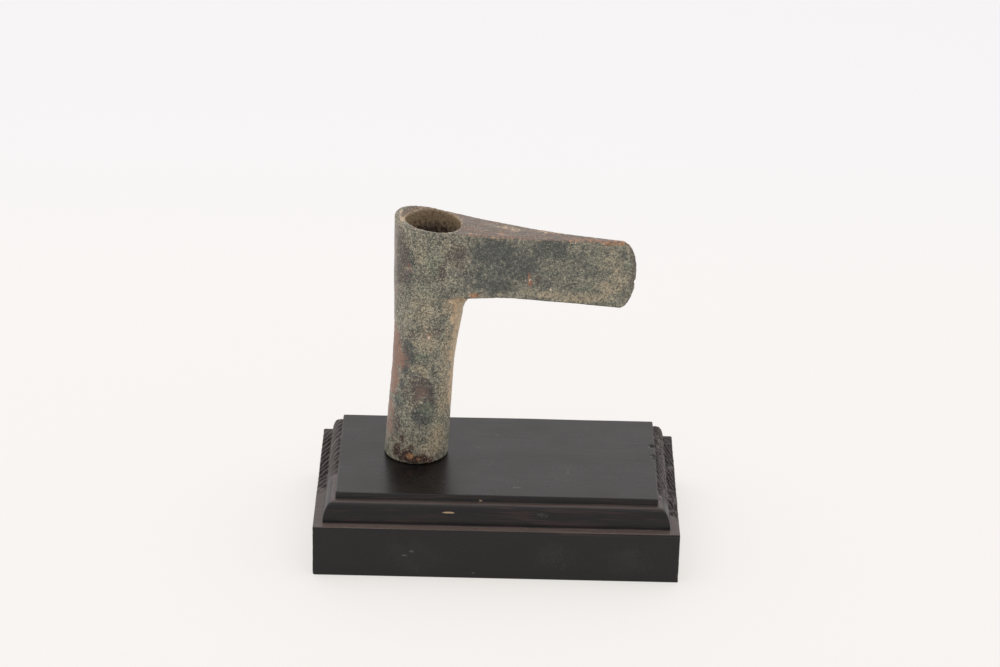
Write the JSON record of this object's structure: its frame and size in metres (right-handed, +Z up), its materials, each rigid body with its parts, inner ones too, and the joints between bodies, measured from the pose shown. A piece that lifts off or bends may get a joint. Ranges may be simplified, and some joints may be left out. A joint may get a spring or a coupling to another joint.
{
  "type": "bronze axe head",
  "caption": "Patinated bronze axe head with a long tubular haft socket and a wedge blade with a convex edge, standing upright on a stepped, moulded black wooden plinth.",
  "frame": {"origin": "centre of the plinth's underside", "axes": "+X along the plinth from the haft socket towards the cutting edge, +Z up"},
  "size_m": [0.17, 0.1, 0.1608],
  "materials": {
    "bronze": "matt grey-green and brown patina with earthy pits",
    "black_wood": "satin black stain"
  },
  "bodies": {
    "root": {"axe_head": "bronze", "plinth": "black_wood"}
  },
  "joints": []
}
